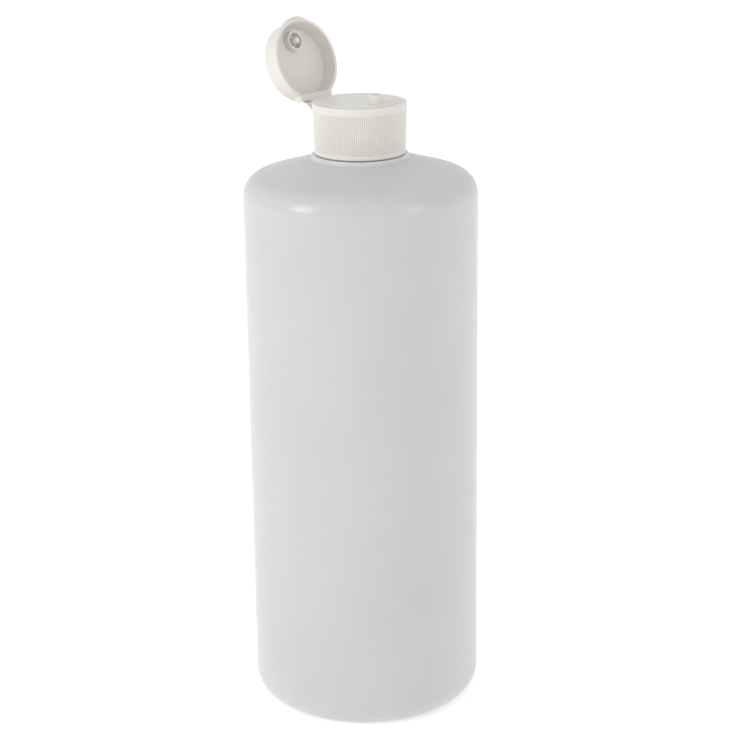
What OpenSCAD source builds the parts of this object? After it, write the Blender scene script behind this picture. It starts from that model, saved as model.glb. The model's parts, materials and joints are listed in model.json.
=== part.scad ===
// Squeeze bottle: a blow-moulded round bottle with a screw neck, and a ribbed
// screw closure with a small nozzle and a flip lid on a living hinge.
// Millimetres, +Z up. The origin is on the bottle's axis, on the surface that it stands on.
// The nozzle is at the front (-Y) and the hinge at the back (+Y). The lid is drawn open.

/* [Bottle body] */
// Outside diameter of the body
body_d = 83; // [70:0.5:95]
// Height at which the straight wall ends and the shoulder begins
shoulder_z = 189.1; // [150:0.1:220]
// Radius of the rounded bottom corner
heel_r = 8.1; // [5:0.1:12]
// Radius of the rounded shoulder corner
shoulder_r = 7.7; // [5:0.1:12]
// Slope of the dome above the shoulder, in degrees
dome_angle = 16.3; // [10:0.1:22]
// Thickness of the blown wall
wall = 1.0; // [0.8:0.1:1.6]
// Rise of the hollow in the underside
push_up = 3.2; // [2:0.1:5]
// Width of the ring that the bottle stands on
foot_w = 3.4; // [2:0.1:5]

/* [Neck] */
// Diameter of the raised collar round the foot of the neck
collar_d = 34.4; // [33:0.1:36]
// Height of that collar over the dome, at its edge
collar_h = 1.5; // [1.2:0.05:1.6]
// Bevel of the collar's upper edge
collar_bevel = 0.4; // [0.2:0.05:0.6]
// Diameter of the neck under its thread
neck_d = 25.2; // [24.8:0.1:25.6]
// Diameter over the crest of the thread
thread_d = 27.5; // [27:0.1:27.8]
// Diameter of the hole through the neck
neck_bore_d = 21.8; // [20:0.1:22.2]
// Height of the neck over its collar
neck_h = 16.1; // [16:0.1:19]
// Radius of the curve between the collar and the neck
neck_root_r = 1.4; // [0.8:0.1:1.6]
// Climb of the thread in one turn
thread_pitch = 4.23; // [3.6:0.01:4.6]
// Turns of the thread
thread_turns = 1.5; // [1.2:0.1:1.8]
// Depth of the thread's upper end below the neck's rim
thread_drop = 3.6; // [3:0.1:4.4]

/* [Closure] */
// Outside diameter of the skirt at its top
cap_top_d = 33.3; // [32.9:0.1:34.5]
// Outside diameter of the skirt at its bottom
cap_bottom_d = 31.9; // [31.5:0.1:33]
// Height of the closure from the skirt's bottom edge to its top edge
cap_h = 18; // [17:0.1:19]
// Thickness of the top
deck_t = 2.0; // [1.9:0.1:2.4]
// Height of the round seat inside the closed lid
seat_h = 0.35; // [0.2:0.05:0.6]
// Number of grip ribs round the skirt
rib_count = 144; // [96:12:168]
// Depth of the grooves between the ribs
rib_depth = 0.3; // [0.2:0.05:0.4]
// Height of the smooth band over the ribs
top_band_h = 2.4; // [2:0.1:4]
// Height of the smooth band under the ribs
bottom_band_h = 1.2; // [0.9:0.1:2]
// Radius of the skirt's rounded top and bottom edges
cap_edge_r = 0.4; // [0.3:0.1:0.9]
// Height of the sealing plug that enters the neck
plug_h = 3.6; // [2.5:0.1:5]
// Thickness of the sealing plug
plug_t = 1.0; // [0.8:0.1:1.4]

/* [Nozzle] */
// Distance of the nozzle in front of the bottle's axis
nozzle_forward = 8.0; // [7.4:0.1:8.2]
// Outside diameter of the nozzle
nozzle_d = 5.2; // [4.6:0.1:5.4]
// Height of the nozzle over the closure's top edge
nozzle_h = 3.3; // [2.8:0.1:3.8]
// Diameter of the hole through the nozzle
orifice_d = 3.0; // [2.8:0.1:3.4]

/* [Flip lid] */
// Outside diameter of the lid at its rim
lid_d = 29.6; // [29.2:0.1:30]
// Height of the lid
lid_h = 7.7; // [7.3:0.1:9]
// Thickness of the lid's side wall at its rim
lid_wall = 1.2; // [1:0.1:1.4]
// Thickness of the lid's top
lid_top_t = 2.4; // [2:0.1:2.8]
// How much narrower the lid is at its top than at its rim, in radius
lid_taper = 0.9; // [0.5:0.1:1.3]
// Distance that the lid's centre lies in front of the bottle's axis when shut
lid_forward = 0.5; // [0.3:0.1:0.7]
// Radius of the rounded edge of the lid's top
lid_edge_r = 1.3; // [0.8:0.1:1.8]
// Width of the thumb tab
tab_w = 11.4; // [9:0.1:14]
// Reach of the thumb tab beyond the lid's rim
tab_reach = 0.85; // [0.6:0.05:1.3]
// Wall of the ring in the lid that fits round the nozzle
ring_t = 0.65; // [0.5:0.05:0.8]
// How far that ring reaches down the nozzle when the lid is shut
ring_overlap = 0.3; // [0.2:0.05:0.6]
// How far the stopper pin enters the nozzle when the lid is shut
pin_entry = 1.3; // [0.8:0.1:1.8]
// Angle that the lid is drawn open
open_angle = 109.4; // [60:0.1:170]

/* [Hinge] */
// Distance of the hinge line behind the bottle's axis
hinge_back = 16.55; // [16.5:0.05:16.8]
// Depth of the hinge line below the closure's top edge
hinge_drop = 2.87; // [2.75:0.01:3]
// Width of the hinge's strap, and of the pad that it springs from
hinge_w = 12.6; // [11:0.1:14]
// Height of the flat hinge pad at the back of the skirt
pad_h = 3.4; // [3:0.1:5]
// Thickness of the lid's tongue at the hinge line
tongue_t = 1.25; // [1.1:0.05:1.3]
// Width of that tongue
tongue_w = 8; // [6:0.1:9]
// Width of the square heel at the back of the lid, which carries the tongue
heel_w = 16; // [14:0.1:16.6]
// Distance from the lid's centre to the flat wall inside that heel
heel_inside = 12; // [11.6:0.1:12.4]

/* [Hidden] */
$fn = 96;
arc_steps = 8;

body_r = body_d / 2;
neck_r = neck_d / 2;
thread_r = thread_d / 2;
neck_bore_r = neck_bore_d / 2;
collar_r = collar_d / 2;
foot_r = body_r - heel_r;
foot_in_r = foot_r - foot_w;
neck_rim_r = 0.4;

// Where the rounded shoulder meets the straight slope of the dome.
dome_start_r = body_r - shoulder_r + shoulder_r * sin(dome_angle);
dome_start_z = shoulder_z + shoulder_r * cos(dome_angle);
collar_z = dome_z(collar_r) + collar_h;
neck_top_z = collar_z + neck_h;

// The thread's section: its width at the root and at the crest.
thread_root_w = 2.5;
thread_crest_w = 1.1;
thread_sink = 0.35;
thread_step = 15;
thread_fade = 30;

// Clearances between the pieces.
seal_gap = 0.15;
skirt_gap = 0.2;
plug_gap = 0.1;
thread_gap = 0.3;
lid_gap = 0.1;
seat_gap = 0.3;
hinge_gap = 0.15;
pin_gap = 0.25;
ring_gap = 0.25;

cap_top_r = cap_top_d / 2;
cap_bottom_r = cap_bottom_d / 2;
cap_bore_r = thread_r + thread_gap;
cap_mouth_bevel = 0.5;
// The closure goes down until its top meets the neck, or its skirt the collar.
cap_top_z = max(neck_top_z + seal_gap + deck_t, collar_z + skirt_gap + cap_h);
rib_top = -top_band_h;
rib_bottom = bottom_band_h - cap_h;
rib_under = 0.03;
plug_r = neck_bore_r - plug_gap;
plug_bevel = 0.6;

lid_r = lid_d / 2;
lid_floor = lid_h - lid_top_t;
lid_in_r = lid_r - lid_wall;
lid_floor_r = lid_in_r - lid_taper;
lid_corner_r = 0.8;
lid_crown = 0.25;
seat_r = lid_in_r - seat_gap;
ring_in_r = nozzle_d / 2 + ring_gap;
ring_low = nozzle_h - ring_overlap;
pin_r = orifice_d / 2 - pin_gap;
pin_low = nozzle_h - pin_entry;
pin_tip_h = 0.6;

// The thumb tab is the part of a smaller circle that passes the lid's rim.
tab_front = lid_r + tab_reach;
tab_chord_back = sqrt(pow(lid_r, 2) - pow(tab_w / 2, 2));
tab_r = (pow(tab_front - tab_chord_back, 2) + pow(tab_w / 2, 2)) / (2 * (tab_front - tab_chord_back));
tab_h = 1.9;
tab_slope_h = 1.6;

// Heights below are taken from the closure's top edge.
pad_face = hinge_back - 0.1;
pad_top = -hinge_drop - hinge_gap;
pad_bottom = pad_top - pad_h;
pad_flare = 1.1;
pad_root = cap_bore_r - 1;
tongue_front = hinge_back - tongue_t;
notch_front = tongue_front - 0.15;
notch_w = tongue_w + 0.6;
tongue_h = 2.4;
tongue_bevel = 0.7;
heel_back = 14.4;
heel_h = 3;

// Points along an arc, from angle a0 to angle a1.
function arc(cx, cy, r, a0, a1, n = arc_steps) =
    [for (i = [0:n]) let (a = a0 + (a1 - a0) * i / n) [cx + r * cos(a), cy + r * sin(a)]];

// Height of the dome's outside at a distance r from the axis.
function dome_z(r) = dome_start_z + (dome_start_r - r) * tan(dome_angle);

// Points along a shallow arch over the axis: rise at the middle, zero at r_edge.
function arch(r_edge, rise, z0, n = arc_steps) =
    let (big_r = (pow(r_edge, 2) + pow(rise, 2)) / (2 * rise))
    [for (i = [0:n]) let (x = r_edge * i / n) [x, z0 + rise - big_r + sqrt(pow(big_r, 2) - pow(x, 2))]];

function reversed(points) = [for (i = [len(points) - 1:-1:0]) points[i]];

// Radius of the skirt's outside at a height z from the closure's top edge.
function cap_r(z) = cap_top_r + (cap_top_r - cap_bottom_r) * z / cap_h;

// The bottle's outside, from the middle of its underside to the rim of its neck.
function bottle_outside() = concat(
    arch(foot_in_r, push_up, 0),
    arc(foot_r, heel_r, heel_r, -90, 0),
    arc(body_r - shoulder_r, shoulder_z, shoulder_r, 0, 90 - dome_angle),
    [[collar_r, dome_z(collar_r)], [collar_r, collar_z - collar_bevel], [collar_r - collar_bevel, collar_z]],
    arc(neck_r + neck_root_r, collar_z + neck_root_r, neck_root_r, 270, 180, 4),
    arc(neck_r - neck_rim_r, neck_top_z - neck_rim_r, neck_rim_r, 0, 90, 3)
);

// The bottle's inside, from the rim of its neck to the middle of its floor.
function bottle_inside() = concat(
    arc(neck_bore_r + neck_rim_r, neck_top_z - neck_rim_r, neck_rim_r, 90, 180, 3),
    [[neck_bore_r, dome_z(neck_bore_r) - wall / cos(dome_angle)]],
    arc(body_r - shoulder_r, shoulder_z, shoulder_r - wall, 90 - dome_angle, 0),
    arc(foot_r, heel_r, heel_r - wall, 0, -90),
    reversed(arch(foot_in_r, push_up, wall))
);

// Share of its full height that the thread has at an angle along it.
function thread_share(a) = max(0.02, min(1, min(a, thread_turns * 360 - a) / thread_fade));

// One section of the thread, at angle a from its lower end.
function thread_ring(a) =
    let (
        z = neck_top_z - thread_drop - thread_pitch * (thread_turns - a / 360),
        root = neck_r - thread_sink,
        crest = neck_r + (thread_r - neck_r) * thread_share(a)
    )
    [for (p = [
        [root, -thread_root_w / 2],
        [crest, -thread_crest_w / 2],
        [crest, thread_crest_w / 2],
        [root, thread_root_w / 2]
    ]) [p[0] * cos(a), p[0] * sin(a), z + p[1]]];

// The helical thread, as a band swept round the neck.
module neck_thread() {
    steps = round(thread_turns * 360 / thread_step);
    rings = [for (i = [0:steps]) thread_ring(i * thread_turns * 360 / steps)];
    sides = [for (i = [0:steps - 1], j = [0:3]) let (k = (j + 1) % 4)
        each [
            [4 * i + j, 4 * i + k, 4 * i + 4 + k],
            [4 * i + j, 4 * i + 4 + k, 4 * i + 4 + j]
        ]];
    ends = [[0, 3, 2, 1], [for (j = [0:3]) 4 * steps + j]];
    polyhedron([for (ring = rings) each ring], concat(sides, ends));
}

// The blown bottle: one hollow wall from its underside to its threaded neck.
module bottle() {
    color([0.86, 0.88, 0.87]) {
        rotate_extrude() polygon(concat(bottle_outside(), bottle_inside()));
        neck_thread();
    }
}

// The closure's solid outline, with a belt left narrow for the ribs.
module cap_blank() {
    belt = rib_depth + 0.2;
    rotate_extrude() polygon(concat(
        [[0, -cap_h]],
        arc(cap_bottom_r - cap_edge_r, cap_edge_r - cap_h, cap_edge_r, -90, 0, 4),
        [
            [cap_r(rib_bottom), rib_bottom],
            [cap_r(rib_bottom) - belt, rib_bottom],
            [cap_r(rib_top) - belt, rib_top],
            [cap_r(rib_top), rib_top]
        ],
        arc(cap_top_r - cap_edge_r, -cap_edge_r, cap_edge_r, 0, 90, 4),
        [[0, 0]]
    ));
}

// The belt of fine upright ribs.
module grip_ribs() {
    low = rib_bottom - 0.25;
    high = rib_top + 0.25;
    crest = cap_r(low) - rib_under;
    valley = crest - rib_depth;
    translate([0, 0, low])
        linear_extrude(height = high - low, scale = (cap_r(high) - rib_under) / crest)
            polygon([for (i = [0:2 * rib_count - 1]) let (r = i % 2 == 0 ? crest : valley, a = i * 180 / rib_count)
                [r * cos(a), r * sin(a)]]);
}

// A profile in the plane of Y and Z, drawn out to a width along X.
module across(width) {
    translate([-width / 2, 0, 0])
        rotate([90, 0, 90])
            linear_extrude(height = width)
                children();
}

// A circle that is cut off flat at a distance behind its centre.
module flat_backed(r, back) {
    intersection() {
        circle(r);
        translate([-r, back - 2 * r])
            square(2 * r);
    }
}

// The flat pad behind the skirt that carries the hinge.
module hinge_pad() {
    across(hinge_w)
        polygon([
            [pad_root, pad_top],
            [pad_face, pad_top],
            [pad_face, pad_bottom],
            [pad_face - pad_flare, pad_bottom - pad_flare],
            [pad_root, pad_bottom - pad_flare]
        ]);
}

// What is cut away behind the pad's face, and over it for the lid's tongue.
module hinge_clearance() {
    far = cap_top_r + 3;
    across(hinge_w)
        polygon([
            [pad_face, pad_top - 1],
            [pad_face, pad_bottom],
            [far, pad_bottom - (far - pad_face)],
            [far, pad_top - 1]
        ]);
    across(notch_w)
        polygon([
            [notch_front, pad_top],
            [pad_face, pad_top],
            [pad_face, pad_top - 1],
            [far, pad_top - 1],
            [far, seat_h + 1],
            [notch_front, seat_h + 1]
        ]);
}

// The threaded side's hollow, with a bevelled mouth.
module cap_hollow() {
    depth = cap_h - deck_t;
    translate([0, 0, -cap_h - 1])
        cylinder(h = depth + 1, r = cap_bore_r);
    translate([0, 0, -cap_h - 0.01])
        cylinder(h = cap_mouth_bevel, r1 = cap_bore_r + cap_mouth_bevel, r2 = cap_bore_r);
}

// The ring under the closure's top that seals inside the neck.
module seal_plug() {
    translate([0, 0, -deck_t])
        rotate_extrude()
            polygon([
                [plug_r - plug_t, 0.2],
                [plug_r, 0.2],
                [plug_r, plug_bevel - plug_h],
                [plug_r - plug_bevel, -plug_h],
                [plug_r - plug_t, -plug_h]
            ]);
}

// The seat that the shut lid's rim fits round, flat at the back like the lid's inside.
module lid_seat() {
    translate([0, -lid_forward, -0.2])
        linear_extrude(height = seat_h + 0.2)
            flat_backed(seat_r, heel_inside - seat_gap);
}

// The nozzle, with its rounded lip and the small curve at its foot.
module nozzle() {
    r = nozzle_d / 2;
    lip = 0.35;
    foot = 0.5;
    translate([0, -nozzle_forward, 0])
        rotate_extrude()
            polygon(concat(
                [[0, seat_h - 0.2], [r + foot, seat_h - 0.2]],
                arc(r + foot, seat_h + foot, foot, 270, 180, 3),
                arc(r - lip, nozzle_h - lip, lip, 0, 90, 3),
                [[0, nozzle_h]]
            ));
}

// The closure's base: ribbed skirt, top with its seat and nozzle, plug and hinge pad.
module cap_base() {
    color([0.93, 0.92, 0.89])
        translate([0, 0, cap_top_z])
            difference() {
                union() {
                    difference() {
                        union() {
                            cap_blank();
                            grip_ribs();
                            hinge_pad();
                            lid_seat();
                        }
                        cap_hollow();
                        hinge_clearance();
                    }
                    nozzle();
                    seal_plug();
                }
                translate([0, -nozzle_forward, -deck_t - 1])
                    cylinder(h = deck_t + nozzle_h + 2, r = orifice_d / 2);
            }
}

// The lid's outside, with a rounded edge and a slightly crowned top.
module lid_outside() {
    edge_r = lid_r - lid_taper;
    rotate_extrude() polygon(concat(
        [[0, 0], [lid_r, 0]],
        arc(edge_r - lid_edge_r, lid_h - lid_edge_r, lid_edge_r, 0, 90, 6),
        reversed(arch(edge_r - lid_edge_r, lid_crown, lid_h, 4))
    ));
}

// The hollow of the lid, open at its rim and flat at the back.
module lid_hollow() {
    intersection() {
        rotate_extrude() polygon(concat(
            [[0, -1], [lid_in_r, -1], [lid_in_r, 0]],
            arc(lid_floor_r - lid_corner_r, lid_floor - lid_corner_r, lid_corner_r, 0, 90, 4),
            [[0, lid_floor]]
        ));
        translate([0, 0, -1])
            linear_extrude(height = lid_h)
                flat_backed(lid_in_r + 1, heel_inside);
    }
}

// The lip at the front that a thumb lifts.
module thumb_tab() {
    translate([0, tab_r - tab_front, 0.2]) {
        cylinder(h = tab_h, r = tab_r);
        translate([0, 0, tab_h])
            cylinder(h = tab_slope_h, r1 = tab_r, r2 = tab_r - tab_reach - 0.5);
    }
}

// The square heel at the back of the lid.
module lid_heel() {
    across(heel_w)
        polygon([
            [heel_inside - 2, 0],
            [heel_back, 0],
            [heel_back, heel_h - 1],
            [heel_back - 1, heel_h],
            [heel_inside - 2, heel_h]
        ]);
}

// The tongue behind the heel that reaches down to the hinge line.
module hinge_tongue() {
    across(tongue_w)
        translate([lid_forward, -lid_gap])
            polygon([
                [tongue_front, hinge_gap - hinge_drop],
                [hinge_back, hinge_gap - hinge_drop],
                [hinge_back, hinge_gap - hinge_drop + 1.4],
                [hinge_back - tongue_bevel, tongue_h - tongue_bevel],
                [hinge_back - 2 * tongue_bevel, tongue_h],
                [heel_inside, tongue_h],
                [heel_inside, lid_gap],
                [tongue_front, lid_gap]
            ]);
}

// The ring that closes round the nozzle, and the pin that stops it.
module lid_stopper() {
    translate([0, lid_forward - nozzle_forward, 0]) {
        difference() {
            translate([0, 0, ring_low])
                cylinder(h = lid_floor - ring_low + 0.2, r = ring_in_r + ring_t);
            translate([0, 0, ring_low - 1])
                cylinder(h = lid_floor - ring_low + 1, r = ring_in_r);
        }
        translate([0, 0, pin_low + pin_tip_h])
            cylinder(h = lid_floor - pin_low - pin_tip_h + 0.2, r = pin_r);
        translate([0, 0, pin_low])
            cylinder(h = pin_tip_h, r1 = pin_r - 0.4, r2 = pin_r);
    }
}

// The lid as it lies when shut, with its own axis at the origin.
module lid_shut() {
    difference() {
        union() {
            lid_outside();
            thumb_tab();
            lid_heel();
            hinge_tongue();
        }
        lid_hollow();
    }
    lid_stopper();
}

// The flip lid, turned about its hinge line to the angle that it is drawn open.
module flip_lid() {
    color([0.93, 0.92, 0.89])
        translate([0, hinge_back, cap_top_z - hinge_drop])
            rotate([-open_angle, 0, 0])
                translate([0, -lid_forward - hinge_back, hinge_drop + lid_gap])
                    lid_shut();
}

bottle();
cap_base();
flip_lid();
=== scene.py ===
"""A squeeze bottle of milky polyethylene with a white flip-top closure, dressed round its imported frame.

Lengths are in millimetres and are turned to metres when a piece is made.
"""

import json
import math

import bmesh
import bpy
from mathutils import Matrix, Vector, noise


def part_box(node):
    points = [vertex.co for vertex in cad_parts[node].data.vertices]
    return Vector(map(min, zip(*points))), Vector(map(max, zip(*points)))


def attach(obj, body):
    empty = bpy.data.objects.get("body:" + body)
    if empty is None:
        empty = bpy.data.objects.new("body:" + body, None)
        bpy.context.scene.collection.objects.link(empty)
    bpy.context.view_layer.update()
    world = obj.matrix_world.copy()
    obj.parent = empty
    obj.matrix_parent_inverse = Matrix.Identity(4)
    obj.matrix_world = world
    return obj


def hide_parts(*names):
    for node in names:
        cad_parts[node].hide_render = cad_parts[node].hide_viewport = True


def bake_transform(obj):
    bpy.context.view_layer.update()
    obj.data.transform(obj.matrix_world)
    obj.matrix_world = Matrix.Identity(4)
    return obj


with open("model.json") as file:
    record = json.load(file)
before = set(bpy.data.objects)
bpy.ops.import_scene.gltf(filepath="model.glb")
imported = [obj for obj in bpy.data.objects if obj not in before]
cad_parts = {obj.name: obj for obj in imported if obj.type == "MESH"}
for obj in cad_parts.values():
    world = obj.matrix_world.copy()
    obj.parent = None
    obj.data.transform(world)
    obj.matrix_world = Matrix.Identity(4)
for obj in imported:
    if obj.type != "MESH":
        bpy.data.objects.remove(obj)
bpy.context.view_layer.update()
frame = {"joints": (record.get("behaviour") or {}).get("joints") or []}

MM = 0.001
BOTTLE_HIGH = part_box("bottle")[1] / MM
CAP_LOW, CAP_HIGH = (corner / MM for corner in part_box("cap_base"))
HINGE = next(joint for joint in frame["joints"] if joint["name"] == "lid_hinge")

# The camera, where the photograph was taken from.
CAMERA_PLACE = (-0.5331, -0.4909, 0.3538)
CAMERA_PITCH = 72.222
CAMERA_BEARING = -47.7
CAMERA_ROLL = -0.675
CAMERA_LENS = 100.56
SENSOR_WIDTH = 36

# The lamps, in metres.
LAMP_DISTANCE = 1.3
LAMPS_FACE = Vector((0, 0, 0.14))

# How far a joined solid reaches into its neighbour, and how far a cutting one reaches past it.
SINK = 0.2
PAST = 1

# The blown bottle.
BODY_R = BOTTLE_HIGH.x
NECK_TOP = BOTTLE_HIGH.z
WALL = 1.0
HEEL_R = 8.1
FOOT_W = 3.4
FOOT_R = BODY_R - HEEL_R
FOOT_IN_R = FOOT_R - FOOT_W
PUSH_UP = 3.2
SHOULDER_R = 7.7
SHOULDER_Z = 189.1
DOME_ANGLE = 16.3
DOME_START_R = BODY_R - SHOULDER_R + SHOULDER_R * math.sin(math.radians(DOME_ANGLE))
DOME_START_Z = SHOULDER_Z + SHOULDER_R * math.cos(math.radians(DOME_ANGLE))
COLLAR_R = 17.2
COLLAR_H = 1.5
COLLAR_FOOT = 0.3
COLLAR_EDGE_R = 0.5
NECK_R = 12.6
NECK_BORE_R = 10.9
NECK_ROOT_R = 1.4
NECK_RIM_R = 0.4
BOTTLE_COLUMNS = 192
WALL_WAVE = 0.1

# The screw thread, on the neck and inside the closure.
THREAD_R = 13.75
THREAD_PITCH = 4.23
THREAD_TURNS = 1.5
THREAD_DROP = 3.6
THREAD_ROOT_W = 2.5
THREAD_CREST_W = 1.1
THREAD_FADE = 30
INNER_THREAD_R = 13.0
INNER_THREAD_ROOT_W = 2.0
INNER_THREAD_CREST_W = 0.9

# The closure, with heights taken from its top edge.
CAP_H = 18
CAP_TOP = CAP_LOW.z + CAP_H
CAP_TOP_R = 16.65
CAP_BOTTOM_R = 15.95
CAP_BORE_R = 14.05
CAP_EDGE_R = 0.4
CAP_MOUTH_BEVEL = 0.5
DECK_T = 2.0
RIB_COUNT = 144
RIB_DEPTH = 0.3
RIB_COLUMNS = 8
RIB_TOP = -2.4
RIB_BOTTOM = 1.2 - CAP_H
RIB_RUN_OUT = 0.5
SEAT_H = 0.35
PLUG_R = NECK_BORE_R - 0.1
PLUG_T = 1.0
PLUG_H = 3.6
NOZZLE_FORWARD = 8.0
NOZZLE_R = 2.6
NOZZLE_H = CAP_HIGH.z - CAP_TOP
ORIFICE_R = 1.5

# The hinge at the closure's back.
HINGE_Y = HINGE["pos_m"][1] / MM
HINGE_Z = HINGE["pos_m"][2] / MM
OPEN_ANGLE = -min(HINGE["range_deg"])
HINGE_DROP = CAP_TOP - HINGE_Z
HINGE_GAP = 0.15
HINGE_W = 12.6
PAD_FACE = HINGE_Y - 0.1
PAD_TOP = -HINGE_DROP - HINGE_GAP
PAD_BOTTOM = PAD_TOP - 3.4
PAD_FLARE = 1.1
TONGUE_FRONT = HINGE_Y - 1.25
TONGUE_W = 8
TONGUE_H = 2.4
TONGUE_BEVEL = 0.7
NOTCH_W = TONGUE_W + 0.6
BEHIND_CAP = CAP_TOP_R + 3
CUTS_MEET = PAD_TOP - 1
STRAP_T = 0.4
STRAP_SINK = 0.1
STRAP_FOOT_DROP = 4.8
STRAP_HEAD_RISE = 1.3
STRAP_BULGE = 1.4
STRAP_BULGE_DROP = 3.0
FILM_T = 0.3
FILM_W = TONGUE_W - 0.4
FILM_FOOT_IN = 0.5
FILM_HEAD_IN = 0.6

# The flip lid, with heights taken from its rim.
LID_R = 14.8
LID_H = 7.7
LID_WALL = 1.2
LID_FLOOR = LID_H - 2.4
LID_IN_R = LID_R - LID_WALL
LID_TAPER = 0.9
LID_FLOOR_R = LID_IN_R - LID_TAPER
LID_EDGE_R = 1.3
LID_RIM_EDGE = 0.2
LID_CORNER_R = 0.8
LID_CROWN = 0.25
LID_FORWARD = 0.5
LID_GAP = 0.1
TAB_W = 11.4
TAB_FRONT = LID_R + 0.85
TAB_H = 1.9
TAB_SLOPE_H = 1.6
TAB_SLOPE_IN = 1.35
HEEL_W = 16
HEEL_INSIDE = 12
HEEL_BACK = 14.4
HEEL_H = 3
SEAT_R = LID_IN_R - 0.3
SEAT_BACK = HEEL_INSIDE - 0.3
RING_IN_R = NOZZLE_R + 0.25
RING_T = 0.65
RING_LOW = NOZZLE_H - 0.3
PIN_R = ORIFICE_R - 0.25
PIN_LOW = NOZZLE_H - 1.3
PIN_TIP_H = 0.6


def arc(x, z, radius, start, end, steps=8):
    """Points along an arc, with its angles in degrees."""
    turns = [math.radians(start + (end - start) * i / steps) for i in range(steps + 1)]
    return [(x + radius * math.cos(a), z + radius * math.sin(a)) for a in turns]


def arch(edge, rise, base, steps=12):
    """Points along a shallow arch, from the axis, where it is highest, to its edge."""
    big = (edge**2 + rise**2) / (2 * rise)
    spots = [edge * i / steps for i in range(steps + 1)]
    return [(x, base + rise - big + math.sqrt(big**2 - x**2)) for x in spots]


def run(start, end, steps):
    """Points along a straight line, with both of its ends."""
    shares = [i / steps for i in range(steps + 1)]
    return [(start[0] + (end[0] - start[0]) * s, start[1] + (end[1] - start[1]) * s) for s in shares]


def without_repeats(points, least=1e-4):
    """The points, less each one that lies on the one before it."""
    kept = [points[0]]
    for point in points[1:]:
        if math.dist(point, kept[-1]) > least:
            kept.append(point)
    return kept


def smooth_step(share):
    """Eases a share from 0 to 1, and holds it there outside."""
    share = max(0.0, min(1.0, share))
    return share * share * (3 - 2 * share)


def new_piece(name, points, faces):
    """A piece made of points in millimetres, with its faces turned outwards."""
    mesh = bpy.data.meshes.new(name)
    mesh.from_pydata(points, [], faces)
    shape = bmesh.new()
    shape.from_mesh(mesh)
    bmesh.ops.recalc_face_normals(shape, faces=shape.faces)
    shape.to_mesh(mesh)
    shape.free()
    piece = bpy.data.objects.new(name, mesh)
    bpy.context.scene.collection.objects.link(piece)
    return piece


def band(low, high):
    """The faces between two rings of point numbers, where a ring of one number is a pole."""
    count = max(len(low), len(high))
    faces = []
    for i in range(count):
        k = (i + 1) % count
        if len(low) == 1:
            faces.append((low[0], high[k], high[i]))
        elif len(high) == 1:
            faces.append((low[i], low[k], high[0]))
        else:
            faces.append((low[i], low[k], high[k], high[i]))
    return faces


def turned(name, outline, columns, relief=None, centre=(0, 0)):
    """A solid turned about an upright axis. relief gives how far a point moves outwards."""
    outline = without_repeats(outline)
    points, rings, faces = [], [], []
    for radius, z in outline:
        if radius < 1e-6:
            rings.append([len(points)])
            points.append((centre[0], centre[1], z))
            continue
        rings.append(range(len(points), len(points) + columns))
        for i in range(columns):
            a = 2 * math.pi * i / columns
            r = radius + (relief(a, radius, z) if relief else 0)
            points.append((centre[0] + r * math.cos(a), centre[1] + r * math.sin(a), z))
    for low, high in zip(rings, rings[1:]):
        faces += band(low, high)
    if outline[0][0] > 1e-6:
        faces += band(rings[-1], rings[0])
    return new_piece(name, points, faces)


def across(name, outline, width, bevel=0):
    """A solid with its outline in the plane of Y and Z, and a width along X."""
    count = len(outline)
    points = [(side * width / 2, y, z) for side in (-1, 1) for y, z in outline]
    faces = [tuple(range(count)), tuple(range(2 * count - 1, count - 1, -1))]
    faces += [(i, (i + 1) % count, count + (i + 1) % count, count + i) for i in range(count)]
    piece = new_piece(name, points, faces)
    if bevel:
        shape = bmesh.new()
        shape.from_mesh(piece.data)
        bmesh.ops.bevel(
            shape, geom=shape.edges[:], offset=bevel, segments=3, profile=0.5, affect="EDGES"
        )
        shape.to_mesh(piece.data)
        shape.free()
    return piece


def carve(piece, *steps):
    """Joins solids to a piece and cuts others away, in the order given."""
    for operation, solid in steps:
        change = piece.modifiers.new(solid.name, "BOOLEAN")
        change.operation = operation
        change.solver = "MANIFOLD"
        change.object = solid
    bpy.context.view_layer.update()
    shaped = piece.evaluated_get(bpy.context.evaluated_depsgraph_get())
    mesh = bpy.data.meshes.new_from_object(shaped)
    piece.modifiers.clear()
    piece.data = mesh
    for solid in {solid for _, solid in steps}:
        bpy.data.objects.remove(solid)
    return piece


def finish_piece(piece, material, place=Matrix.Identity(4), crease=45):
    """Turns a piece to metres, puts it in place, smooths it between its creases and paints it."""
    piece.data.transform(Matrix.Scale(MM, 4) @ place)
    piece.data.polygons.foreach_set("use_smooth", [True] * len(piece.data.polygons))
    piece.data.set_sharp_from_angle(angle=math.radians(crease))
    even = piece.modifiers.new("even_shading", "WEIGHTED_NORMAL")
    even.keep_sharp = True
    piece.data.materials.clear()
    piece.data.materials.append(material)
    return piece


# The bottle


def dome_z(radius):
    """Height of the dome's outside at a distance from the axis."""
    return DOME_START_Z + (DOME_START_R - radius) * math.tan(math.radians(DOME_ANGLE))


COLLAR_Z = dome_z(COLLAR_R) + COLLAR_H


def thread_height(angle, z, root_w, crest_w, shift=0.0):
    """How much of its full height a thread has at a place, from 0 to 1."""
    best = 0.0
    for turn in range(-1, 3):
        a = math.degrees(angle) + 360 * turn
        along = min(a, THREAD_TURNS * 360 - a)
        if along <= 0:
            continue
        middle = NECK_TOP - THREAD_DROP - THREAD_PITCH * (THREAD_TURNS - a / 360) + shift
        flank = (root_w / 2 - abs(z - middle)) / ((root_w - crest_w) / 2)
        best = max(best, smooth_step(flank) * smooth_step(along / THREAD_FADE))
    return best


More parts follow.
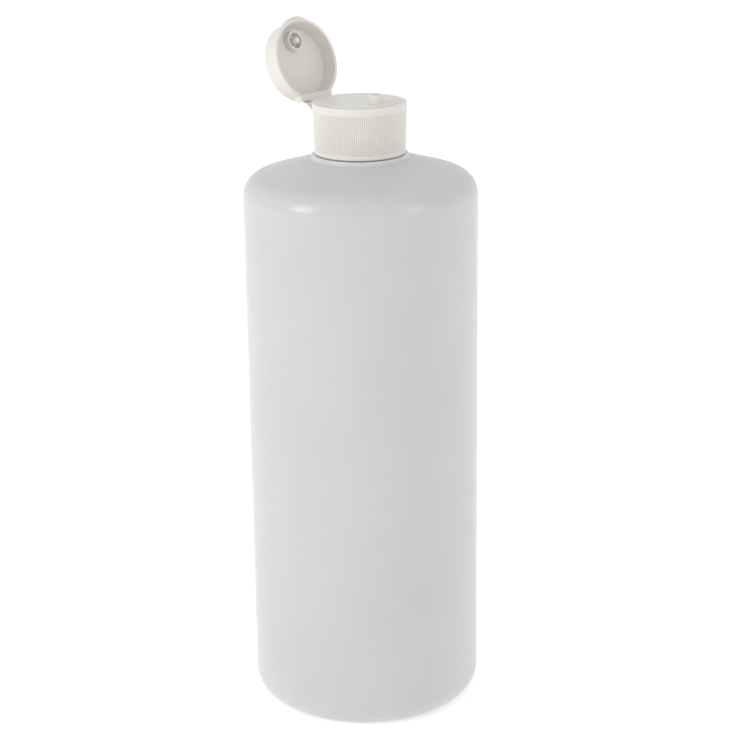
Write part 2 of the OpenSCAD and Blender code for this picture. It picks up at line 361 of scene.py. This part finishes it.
def bottle_relief(angle, radius, z):
    """The thread on the neck, and the slight unevenness of the blown wall."""
    if abs(radius - NECK_R) < 0.01 and z > COLLAR_Z:
        return (THREAD_R - NECK_R) * thread_height(angle, z, THREAD_ROOT_W, THREAD_CREST_W)
    if radius > BODY_R - WALL - 0.1:
        spot = Vector((math.cos(angle), math.sin(angle), z / 90))
        return -WALL_WAVE * (0.5 + 0.5 * noise.noise(spot * 1.3))
    return 0.0


def bottle_outside():
    """The bottle's outside, from the middle of its underside to the rim of its neck."""
    collar_foot_r = COLLAR_R + COLLAR_FOOT
    collar_foot_z = dome_z(COLLAR_R)
    return [
        *arch(FOOT_IN_R - 0.6, PUSH_UP - 0.1, 0.1),
        (FOOT_IN_R - 0.2, 0.03),
        (FOOT_IN_R + 0.3, 0),
        *arc(FOOT_R, HEEL_R, HEEL_R, -90, 0, 16),
        *run((BODY_R, HEEL_R), (BODY_R, SHOULDER_Z), 32),
        *arc(BODY_R - SHOULDER_R, SHOULDER_Z, SHOULDER_R, 0, 90 - DOME_ANGLE, 14),
        *run((DOME_START_R, DOME_START_Z), (collar_foot_r, dome_z(collar_foot_r)), 8),
        (COLLAR_R + 0.08, collar_foot_z + 0.1),
        (COLLAR_R, collar_foot_z + 0.35),
        *arc(COLLAR_R - COLLAR_EDGE_R, COLLAR_Z - COLLAR_EDGE_R, COLLAR_EDGE_R, 0, 90, 6),
        *arc(NECK_R + NECK_ROOT_R, COLLAR_Z + NECK_ROOT_R, NECK_ROOT_R, 270, 180, 6),
        *run((NECK_R, COLLAR_Z + NECK_ROOT_R), (NECK_R, NECK_TOP - NECK_RIM_R), 76),
        *arc(NECK_R - NECK_RIM_R, NECK_TOP - NECK_RIM_R, NECK_RIM_R, 0, 90, 4),
    ]


def bottle_inside():
    """The bottle's inside, from the rim of its neck to the middle of its floor."""
    slope = math.radians(DOME_ANGLE)
    bend_r = DOME_START_R - WALL * math.sin(slope)
    bend_z = DOME_START_Z - WALL * math.cos(slope)
    bore_z = dome_z(NECK_BORE_R) - WALL / math.cos(slope)
    floor = arch(FOOT_IN_R, PUSH_UP, WALL)
    return [
        *arc(NECK_BORE_R + NECK_RIM_R, NECK_TOP - NECK_RIM_R, NECK_RIM_R, 90, 180, 4),
        *run((NECK_BORE_R, NECK_TOP - NECK_RIM_R), (NECK_BORE_R, bore_z), 6),
        *run((NECK_BORE_R, bore_z), (bend_r, bend_z), 8),
        *arc(BODY_R - SHOULDER_R, SHOULDER_Z, SHOULDER_R - WALL, 90 - DOME_ANGLE, 0, 12),
        *run((BODY_R - WALL, SHOULDER_Z), (BODY_R - WALL, HEEL_R), 32),
        *arc(FOOT_R, HEEL_R, HEEL_R - WALL, 0, -90, 12),
        *floor[::-1],
    ]


def make_bottle(material):
    """The blown bottle in one wall, with its neck and thread."""
    outline = bottle_outside() + bottle_inside()
    bottle = turned("blown_bottle", outline, BOTTLE_COLUMNS, bottle_relief)
    finish_piece(bottle, material, crease=60)
    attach(bottle, "bottle")
    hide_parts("bottle")


# The closure


def cap_r(z):
    """Radius of the skirt's outside at a height."""
    return CAP_TOP_R + (CAP_TOP_R - CAP_BOTTOM_R) * z / CAP_H


def rib_relief(angle, _, z):
    """The grooves between the grip ribs, which run out at both ends."""
    from_end = min(RIB_TOP - z, z - RIB_BOTTOM)
    if from_end <= 0:
        return 0.0
    groove = (0.5 - 0.5 * math.cos(angle * RIB_COUNT)) ** 0.8
    return -RIB_DEPTH * groove * smooth_step(from_end / RIB_RUN_OUT)


def skirt_solid():
    """The closure's outside, with its ribs, as one solid."""
    ends = [RIB_RUN_OUT * i / 4 for i in range(5)]
    heights = [RIB_BOTTOM + e for e in ends] + [RIB_TOP - e for e in reversed(ends)]
    return turned(
        "flip_top_base",
        [
            (0, -CAP_H),
            *arc(CAP_BOTTOM_R - CAP_EDGE_R, CAP_EDGE_R - CAP_H, CAP_EDGE_R, -90, 0),
            *[(cap_r(z), z) for z in heights],
            *arc(CAP_TOP_R - CAP_EDGE_R, -CAP_EDGE_R, CAP_EDGE_R, 0, 90),
            (0, 0),
        ],
        RIB_COUNT * RIB_COLUMNS,
        rib_relief,
    )


def flat_backed(piece, back, low, high):
    """Cuts a turned solid off flat at a distance behind its axis."""
    reach, width = 20, 60
    behind = [(back, low), (back + reach, low), (back + reach, high), (back, high)]
    return carve(piece, ("DIFFERENCE", across("behind", behind, width)))


def pad_solid():
    """The flat pad behind the skirt that carries the hinge."""
    root = CAP_BORE_R - 1
    outline = [
        (root, PAD_TOP),
        (PAD_FACE, PAD_TOP),
        (PAD_FACE, PAD_BOTTOM),
        (PAD_FACE - PAD_FLARE, PAD_BOTTOM - PAD_FLARE),
        (root, PAD_BOTTOM - PAD_FLARE),
    ]
    return across("pad", outline, HINGE_W, bevel=0.15)


def pad_clearance():
    """What is cut away behind the pad's face."""
    outline = [
        (PAD_FACE, CUTS_MEET),
        (PAD_FACE, PAD_BOTTOM),
        (BEHIND_CAP, PAD_BOTTOM - (BEHIND_CAP - PAD_FACE)),
        (BEHIND_CAP, CUTS_MEET),
    ]
    return across("behind_pad", outline, HINGE_W)


def tongue_notch():
    """The notch in the closure's top edge for the lid's tongue."""
    front = TONGUE_FRONT - HINGE_GAP
    outline = [
        (front, PAD_TOP),
        (PAD_FACE, PAD_TOP),
        (PAD_FACE, CUTS_MEET),
        (BEHIND_CAP, CUTS_MEET),
        (BEHIND_CAP, 2),
        (front, 2),
    ]
    return across("notch", outline, NOTCH_W)


def inner_thread_relief(angle, radius, z):
    """The thread inside the skirt, half a pitch above the neck's."""
    if abs(radius - CAP_BORE_R) > 0.01:
        return 0.0
    share = thread_height(
        angle, z + CAP_TOP, INNER_THREAD_ROOT_W, INNER_THREAD_CREST_W, -THREAD_PITCH / 2
    )
    return (INNER_THREAD_R - CAP_BORE_R) * share


def cap_hollow():
    """The threaded side's hollow, with a bevelled mouth."""
    mouth = CAP_BORE_R + CAP_MOUTH_BEVEL
    outline = [
        (0, -CAP_H - PAST),
        (mouth + 0.01, -CAP_H - PAST),
        (mouth + 0.01, -CAP_H - 0.01),
        (CAP_BORE_R, CAP_MOUTH_BEVEL - CAP_H),
        *run((CAP_BORE_R, CAP_MOUTH_BEVEL - CAP_H + 0.1), (CAP_BORE_R, -DECK_T), 60),
        (0, -DECK_T),
    ]
    return turned("hollow", outline, BOTTLE_COLUMNS, inner_thread_relief)


def plug_solid():
    """The ring under the top that seals inside the neck."""
    low = -DECK_T - PLUG_H
    inner_edge, outer_edge = 0.2, 0.6
    outline = [
        (PLUG_R - PLUG_T, SINK - DECK_T),
        *arc(PLUG_R - PLUG_T + inner_edge, low + inner_edge, inner_edge, 180, 270, 4),
        *arc(PLUG_R - outer_edge, low + outer_edge, outer_edge, 270, 360, 4),
        (PLUG_R, SINK - DECK_T),
    ]
    return turned("plug", outline, BOTTLE_COLUMNS)


def seat_solid():
    """The seat that the shut lid's rim fits round, flat at the back like the lid's inside."""
    edge = 0.15
    outline = [
        (0, -SINK),
        (SEAT_R, -SINK),
        (SEAT_R, SEAT_H - edge),
        *arc(SEAT_R - edge, SEAT_H - edge, edge, 0, 90, 4),
        (0, SEAT_H),
    ]
    seat = turned("seat", outline, BOTTLE_COLUMNS, centre=(0, -LID_FORWARD))
    return flat_backed(seat, SEAT_BACK - LID_FORWARD, -1, 2)


def nozzle_solid():
    """The nozzle, with its rounded lip and the curve at its foot."""
    foot = 0.5
    lip = 0.35
    outline = [
        (0, SEAT_H - SINK),
        (NOZZLE_R + foot, SEAT_H - SINK),
        *arc(NOZZLE_R + foot, SEAT_H + foot, foot, 270, 180, 6),
        *arc(NOZZLE_R - lip, NOZZLE_H - lip, lip, 0, 90, 6),
        (0, NOZZLE_H),
    ]
    return turned("nozzle", outline, 96, centre=(0, -NOZZLE_FORWARD))


def orifice():
    """The hole through the nozzle, with a bevelled mouth."""
    mouth = 0.25
    outline = [
        (0, -DECK_T - PAST),
        (ORIFICE_R, -DECK_T - PAST),
        (ORIFICE_R, NOZZLE_H - mouth + 0.05),
        (ORIFICE_R + mouth, NOZZLE_H + 0.05),
        (ORIFICE_R + mouth, NOZZLE_H + PAST),
        (0, NOZZLE_H + PAST),
    ]
    return turned("orifice", outline, 96, centre=(0, -NOZZLE_FORWARD))


def make_closure_base(material):
    """The closure's base: ribbed skirt, top with its seat and nozzle, plug and hinge pad."""
    base = carve(
        skirt_solid(),
        ("UNION", pad_solid()),
        ("UNION", seat_solid()),
        ("DIFFERENCE", cap_hollow()),
        ("DIFFERENCE", pad_clearance()),
        ("DIFFERENCE", tongue_notch()),
        ("UNION", nozzle_solid()),
        ("UNION", plug_solid()),
        ("DIFFERENCE", orifice()),
    )
    finish_piece(base, material, Matrix.Translation((0, 0, CAP_TOP)))
    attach(base, "closure")
    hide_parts("cap_base")


# The flip lid


def lid_outside():
    """The lid's outside, with a rounded edge and a slightly crowned top."""
    edge = LID_R - LID_TAPER
    crown = arch(edge - LID_EDGE_R, LID_CROWN, LID_H, 6)
    outline = [
        (0, 0),
        (LID_R - LID_RIM_EDGE, 0),
        *arc(LID_R - LID_RIM_EDGE, LID_RIM_EDGE, LID_RIM_EDGE, -90, 0, 4),
        *arc(edge - LID_EDGE_R, LID_H - LID_EDGE_R, LID_EDGE_R, 6, 90, 10),
        *crown[::-1],
    ]
    return turned("flip_top_lid", outline, 256)


def lid_hollow():
    """The hollow of the lid, open at its rim and flat at the back."""
    corner_r = LID_FLOOR_R - LID_CORNER_R
    outline = [
        (0, -PAST),
        (LID_IN_R + LID_RIM_EDGE, -PAST),
        (LID_IN_R + LID_RIM_EDGE, -0.01),
        (LID_IN_R, LID_RIM_EDGE),
        *arc(corner_r, LID_FLOOR - LID_CORNER_R, LID_CORNER_R, 0, 90, 8),
        (0, LID_FLOOR),
    ]
    return flat_backed(turned("lid_hollow", outline, 256), HEEL_INSIDE, -2, LID_H)


def thumb_tab():
    """The lip at the front that a thumb lifts, as part of a smaller circle."""
    chord_back = math.sqrt(LID_R**2 - (TAB_W / 2) ** 2)
    reach = TAB_FRONT - chord_back
    radius = (reach**2 + (TAB_W / 2) ** 2) / (2 * reach)
    low = 0.2
    edge = 0.3
    outline = [
        (0, low),
        (radius - edge, low),
        *arc(radius - edge, low + edge, edge, -90, 0, 4),
        (radius, low + TAB_H),
        (radius - TAB_SLOPE_IN, low + TAB_H + TAB_SLOPE_H),
        (0, low + TAB_H + TAB_SLOPE_H),
    ]
    return turned("tab", outline, 192, centre=(0, radius - TAB_FRONT))


def lid_heel():
    """The square heel at the back of the lid."""
    outline = [
        (HEEL_INSIDE - 2, 0),
        (HEEL_BACK, 0),
        (HEEL_BACK, HEEL_H - 1),
        (HEEL_BACK - 1, HEEL_H),
        (HEEL_INSIDE - 2, HEEL_H),
    ]
    return across("heel", outline, HEEL_W, bevel=0.2)


def hinge_tongue():
    """The tongue behind the heel that reaches down to the hinge line."""
    front = TONGUE_FRONT + LID_FORWARD
    back = HINGE_Y + LID_FORWARD
    low = HINGE_GAP - HINGE_DROP - LID_GAP
    high = TONGUE_H - LID_GAP
    outline = [
        (front, low),
        (back, low),
        (back, low + 1.4),
        (back - TONGUE_BEVEL, high - TONGUE_BEVEL),
        (back - 2 * TONGUE_BEVEL, high),
        (HEEL_INSIDE + 0.5, high),
        (HEEL_INSIDE + 0.5, 0),
        (front, 0),
    ]
    return across("tongue", outline, TONGUE_W, bevel=0.1)


def stopper_ring():
    """The ring in the lid that closes round the nozzle."""
    outer = RING_IN_R + RING_T
    edge = 0.15
    outline = [
        (RING_IN_R, LID_FLOOR + SINK),
        *arc(RING_IN_R + edge, RING_LOW + edge, edge, 180, 270, 4),
        *arc(outer - edge, RING_LOW + edge, edge, 270, 360, 4),
        (outer, LID_FLOOR + SINK),
    ]
    return turned("ring", outline, 96, centre=(0, LID_FORWARD - NOZZLE_FORWARD))


def stopper_pin():
    """The pin in the lid that stops the nozzle's hole."""
    outline = [
        (0, PIN_LOW),
        *arc(PIN_R - 0.5, PIN_LOW + 0.3, 0.3, -90, -20, 4),
        (PIN_R, PIN_LOW + PIN_TIP_H),
        (PIN_R, LID_FLOOR + SINK),
        (0, LID_FLOOR + SINK),
    ]
    return turned("pin", outline, 64, centre=(0, LID_FORWARD - NOZZLE_FORWARD))


def lid_place():
    """Turns the lid from its own axis to where it stands open."""
    hinge_line = Matrix.Translation((0, HINGE_Y, HINGE_Z))
    opening = Matrix.Rotation(-math.radians(OPEN_ANGLE), 4, "X")
    shut = Matrix.Translation((0, -LID_FORWARD - HINGE_Y, HINGE_DROP + LID_GAP))
    return hinge_line @ opening @ shut


def make_flip_lid(material):
    """The flip lid with its tab, tongue, ring and pin."""
    lid = carve(
        lid_outside(),
        ("UNION", thumb_tab()),
        ("UNION", lid_heel()),
        ("UNION", hinge_tongue()),
        ("DIFFERENCE", lid_hollow()),
        ("UNION", stopper_ring()),
        ("UNION", stopper_pin()),
    )
    finish_piece(lid, material, lid_place())
    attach(lid, "lid")
    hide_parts("flip_lid")


# The living hinge


def opened(y, z):
    """Where a point on the shut lid lies when the lid is open.

    Heights are from the closure's top edge.
    """
    turn = math.radians(OPEN_ANGLE)
    dy, dz = y - HINGE_Y, z + HINGE_DROP
    return (
        HINGE_Y + dy * math.cos(turn) + dz * math.sin(turn),
        -HINGE_DROP - dy * math.sin(turn) + dz * math.cos(turn),
    )


def curve_through(start, bend, end, steps):
    """A smooth curve from start to end that is drawn towards bend."""
    points = []
    for i in range(steps + 1):
        s = i / steps
        weights = ((1 - s) ** 2, 2 * s * (1 - s), s**2)
        pulls = list(zip(weights, (start, bend, end)))
        points.append(tuple(sum(w * p[axis] for w, p in pulls) for axis in (0, 1)))
    return points


def ribbon(name, path, width, thickness, columns=24):
    """A thin strip that follows a path in the plane of Y and Z."""
    points, faces = [], []
    last = len(path) - 1
    for k, (y, z) in enumerate(path):
        before, after = Vector(path[max(k - 1, 0)]), Vector(path[min(k + 1, last)])
        along = (after - before).normalized()
        normal = Vector((-along.y, along.x)) * thickness / 2
        for side in (1, -1):
            for i in range(columns + 1):
                x = width / 2 * (2 * i / columns - 1)
                points.append((x, y + side * normal.x, z + side * normal.y))
    row = columns + 1

    def spot(k, side, i):
        return (2 * k + side) * row + i

    for k in range(last):
        for i in range(columns):
            faces.append((spot(k, 0, i), spot(k, 0, i + 1), spot(k + 1, 0, i + 1), spot(k + 1, 0, i)))
            faces.append((spot(k, 1, i), spot(k + 1, 1, i), spot(k + 1, 1, i + 1), spot(k, 1, i + 1)))
        for i in (0, columns):
            faces.append((spot(k, 0, i), spot(k + 1, 0, i), spot(k + 1, 1, i), spot(k, 1, i)))
    for k in (0, last):
        for i in range(columns):
            faces.append((spot(k, 0, i), spot(k, 1, i), spot(k, 1, i + 1), spot(k, 0, i + 1)))
    return new_piece(name, points, faces)


def make_living_hinge(material):
    """The thin film on the hinge line, and the strap outside it that snaps the lid open."""
    lift = Matrix.Translation((0, 0, CAP_TOP))
    strap_foot = (PAD_FACE - STRAP_SINK, -STRAP_FOOT_DROP)
    strap_head = opened(HEEL_BACK - LID_FORWARD - STRAP_SINK, STRAP_HEAD_RISE)
    strap_bend = (HINGE_Y + STRAP_BULGE, -STRAP_BULGE_DROP)
    strap_path = curve_through(strap_foot, strap_bend, strap_head, 20)
    strap = ribbon("hinge_strap", strap_path, HINGE_W, STRAP_T)
    film_foot = (PAD_FACE - FILM_FOOT_IN, PAD_TOP)
    film_head = opened(HINGE_Y - FILM_HEAD_IN, HINGE_GAP - HINGE_DROP)
    film_path = curve_through(film_foot, (HINGE_Y, -HINGE_DROP), film_head, 10)
    film = ribbon("hinge_film", film_path, FILM_W, FILM_T)
    for piece, foot, head in ((strap, strap_foot, strap_head), (film, film_foot, film_head)):
        finish_piece(piece, material, lift)
        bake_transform(piece)


# Materials


def moulded_skin():
    """A node group for moulded plastic: cloudy colour, uneven gloss and a fine grain."""
    group = bpy.data.node_groups.new("moulded_skin", "ShaderNodeTree")
    for name, kind in (
        ("Colour", "NodeSocketColor"),
        ("Cloud Colour", "NodeSocketColor"),
        ("Cloud Scale", "NodeSocketFloat"),
        ("Grain Scale", "NodeSocketFloat"),
        ("Gloss Low", "NodeSocketFloat"),
        ("Gloss High", "NodeSocketFloat"),
    ):
        group.interface.new_socket(name, in_out="INPUT", socket_type=kind)
    for name, kind in (
        ("Colour", "NodeSocketColor"),
        ("Roughness", "NodeSocketFloat"),
        ("Grain", "NodeSocketFloat"),
    ):
        group.interface.new_socket(name, in_out="OUTPUT", socket_type=kind)
    add, link = group.nodes.new, group.links.new
    given, out, place = add("NodeGroupInput"), add("NodeGroupOutput"), add("ShaderNodeTexCoord")
    clouds, grain = add("ShaderNodeTexNoise"), add("ShaderNodeTexNoise")
    clouds.inputs["Detail"].default_value = 3
    grain.inputs["Detail"].default_value = 2
    for texture, scale in ((clouds, "Cloud Scale"), (grain, "Grain Scale")):
        link(place.outputs["Object"], texture.inputs["Vector"])
        link(given.outputs[scale], texture.inputs["Scale"])
    colour = add("ShaderNodeMix")
    colour.data_type = "RGBA"
    spread = add("ShaderNodeMapRange")
    spread.inputs["From Min"].default_value = 0.35
    spread.inputs["From Max"].default_value = 0.65
    link(clouds.outputs["Fac"], spread.inputs["Value"])
    link(spread.outputs["Result"], colour.inputs[0])
    link(given.outputs["Colour"], colour.inputs[6])
    link(given.outputs["Cloud Colour"], colour.inputs[7])
    gloss = add("ShaderNodeMapRange")
    link(grain.outputs["Fac"], gloss.inputs["Value"])
    link(given.outputs["Gloss Low"], gloss.inputs["To Min"])
    link(given.outputs["Gloss High"], gloss.inputs["To Max"])
    link(colour.outputs[2], out.inputs["Colour"])
    link(gloss.outputs["Result"], out.inputs["Roughness"])
    link(grain.outputs["Fac"], out.inputs["Grain"])
    return group


def plastic(name, skin, colour, cloud_colour, cloud_scale, grain_scale, gloss, grain_depth):
    """A moulded plastic that places the shared skin with its own values."""
    material = bpy.data.materials.new(name)
    material.use_nodes = True
    nodes, link = material.node_tree.nodes, material.node_tree.links.new
    shader = nodes["Principled BSDF"]
    surface = nodes.new("ShaderNodeGroup")
    surface.node_tree = skin
    surface.inputs["Colour"].default_value = (*colour, 1)
    surface.inputs["Cloud Colour"].default_value = (*cloud_colour, 1)
    surface.inputs["Cloud Scale"].default_value = cloud_scale
    surface.inputs["Grain Scale"].default_value = grain_scale
    surface.inputs["Gloss Low"].default_value, surface.inputs["Gloss High"].default_value = gloss
    bump = nodes.new("ShaderNodeBump")
    bump.inputs["Strength"].default_value = 0.5
    bump.inputs["Distance"].default_value = grain_depth
    link(surface.outputs["Colour"], shader.inputs["Base Color"])
    link(surface.outputs["Roughness"], shader.inputs["Roughness"])
    link(surface.outputs["Grain"], bump.inputs["Height"])
    link(bump.outputs["Normal"], shader.inputs["Normal"])
    return material, shader


def natural_polyethylene(skin):
    """Milky, slightly translucent polyethylene with a satin skin."""
    material, shader = plastic(
        "natural_polyethylene",
        skin,
        colour=(0.588, 0.604, 0.59),
        cloud_colour=(0.612, 0.627, 0.614),
        cloud_scale=22,
        grain_scale=1500,
        gloss=(0.25, 0.33),
        grain_depth=0.00005,
    )
    shader.inputs["Subsurface Weight"].default_value = 0.4
    shader.inputs["Subsurface Radius"].default_value = (1, 1, 1)
    shader.inputs["Subsurface Scale"].default_value = 0.012
    shader.inputs["IOR"].default_value = 1.54
    shader.inputs["Specular IOR Level"].default_value = 0.35
    return material


def white_polypropylene(skin):
    """Warm white polypropylene, as moulded closures have."""
    material, shader = plastic(
        "white_polypropylene",
        skin,
        colour=(0.655, 0.637, 0.595),
        cloud_colour=(0.675, 0.657, 0.615),
        cloud_scale=60,
        grain_scale=2500,
        gloss=(0.28, 0.4),
        grain_depth=0.00002,
    )
    shader.inputs["Subsurface Weight"].default_value = 0.3
    shader.inputs["Subsurface Radius"].default_value = (1, 0.95, 0.85)
    shader.inputs["Subsurface Scale"].default_value = 0.0015
    shader.inputs["IOR"].default_value = 1.49
    return material


# The studio


def make_camera():
    """The camera where the photograph was taken from, with the photograph's slight roll."""
    lens = bpy.data.cameras.new("photo_camera")
    lens.lens = CAMERA_LENS
    lens.sensor_width = SENSOR_WIDTH
    lens.clip_start = 0.01
    camera = bpy.data.objects.new("photo_camera", lens)
    bpy.context.scene.collection.objects.link(camera)
    pan = Matrix.Rotation(math.radians(CAMERA_BEARING), 4, "Z")
    tilt = Matrix.Rotation(math.radians(CAMERA_PITCH), 4, "X")
    roll = Matrix.Rotation(math.radians(CAMERA_ROLL), 4, "Z")
    camera.matrix_world = Matrix.Translation(CAMERA_PLACE) @ pan @ tilt @ roll
    bpy.context.scene.camera = camera


def make_floor():
    """A plain pale floor that is lit from below, as a photographer's light table is."""
    radius, thick = 6000, 1
    floor = turned("floor", [(0, -thick), (radius, -thick), (radius, 0), (0, 0)], 96)
    floor.data.transform(Matrix.Scale(MM, 4))
    material = bpy.data.materials.new("pale_floor")
    material.use_nodes = True
    shader = material.node_tree.nodes["Principled BSDF"]
    shader.inputs["Base Color"].default_value = (0.9, 0.9, 0.9, 1)
    shader.inputs["Emission Color"].default_value = (1, 1, 1, 1)
    shader.inputs["Emission Strength"].default_value = 0.3
    shader.inputs["Roughness"].default_value = 0.9
    shader.inputs["Specular IOR Level"].default_value = 0.1
    floor.data.materials.append(material)


def softbox(name, turn, rise, size, power):
    """A soft lamp that faces the bottle.

    turn is from the camera's side of it, to the left in the picture.
    """
    lamp = bpy.data.lights.new(name, "AREA")
    lamp.shape = "RECTANGLE"
    lamp.size, lamp.size_y = size
    lamp.energy = power
    bearing = math.radians(CAMERA_BEARING - turn)
    level = math.radians(rise)
    towards = Vector((
        math.sin(bearing) * math.cos(level),
        -math.cos(bearing) * math.cos(level),
        math.sin(level),
    ))
    light = bpy.data.objects.new(name, lamp)
    light.location = LAMPS_FACE + towards * LAMP_DISTANCE
    light.rotation_euler = (-towards).to_track_quat("-Z", "Y").to_euler()
    bpy.context.scene.collection.objects.link(light)


def make_studio():
    """Soft white light all round, with a softbox on each side of the camera."""
    world = bpy.data.worlds.new("studio")
    world.use_nodes = True
    sky = world.node_tree.nodes["Background"]
    sky.inputs["Color"].default_value = (1, 1, 1, 1)
    sky.inputs["Strength"].default_value = 0.85
    bpy.context.scene.world = world
    softbox("left_softbox", turn=60, rise=22, size=(0.35, 0.5), power=5.5)
    softbox("right_softbox", turn=-55, rise=20, size=(0.1, 0.16), power=2.2)
    bpy.context.scene.view_settings.view_transform = "Standard"


make_camera()
make_floor()
make_studio()
skin = moulded_skin()
polypropylene = white_polypropylene(skin)
make_bottle(natural_polyethylene(skin))
make_closure_base(polypropylene)
make_flip_lid(polypropylene)
make_living_hinge(polypropylene)
